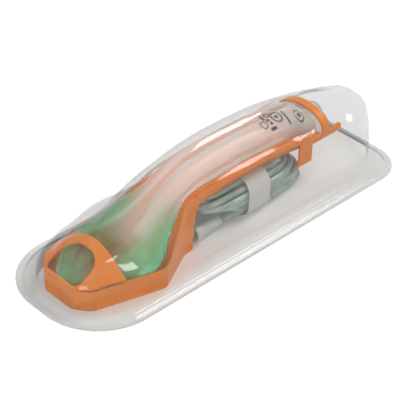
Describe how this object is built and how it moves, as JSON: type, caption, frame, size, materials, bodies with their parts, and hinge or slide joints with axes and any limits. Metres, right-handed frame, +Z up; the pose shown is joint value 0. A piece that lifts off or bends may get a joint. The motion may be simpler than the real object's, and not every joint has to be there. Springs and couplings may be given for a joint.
{
  "type": "supraglottic airway pack",
  "caption": "Soft gel supraglottic airway on a coloured cradle with a coiled suction tube, sealed in a clear domed blister tray with a peel-off lid.",
  "frame": {"origin": "middle of the lid's underside, where the pack rests on a table", "axes": "+X along the pack towards the connector end, the cuff's tip at -X; +Z up out of the dome; +Y the side away from the tube's funnel"},
  "size_m": [0.27, 0.094, 0.0645],
  "materials": {
    "lid_paper": "matte peelable sheet",
    "clear_film": "clear thermoformed film",
    "orange_plastic": "satin moulded plastic",
    "soft_gel": "translucent soft elastomer",
    "clear_plastic": "clear rigid plastic",
    "tube_vinyl": "translucent extruded vinyl",
    "funnel_vinyl": "soft translucent vinyl",
    "band_paper": "uncoated paper strip"
  },
  "bodies": {
    "root": {"peel_lid": "lid_paper", "blister_tray": "clear_film", "cradle": "orange_plastic", "airway_body": "soft_gel", "connector": "clear_plastic", "hook_ring": "orange_plastic", "suction_tube": "tube_vinyl", "tube_funnel": "funnel_vinyl", "paper_band": "band_paper"}
  },
  "joints": []
}
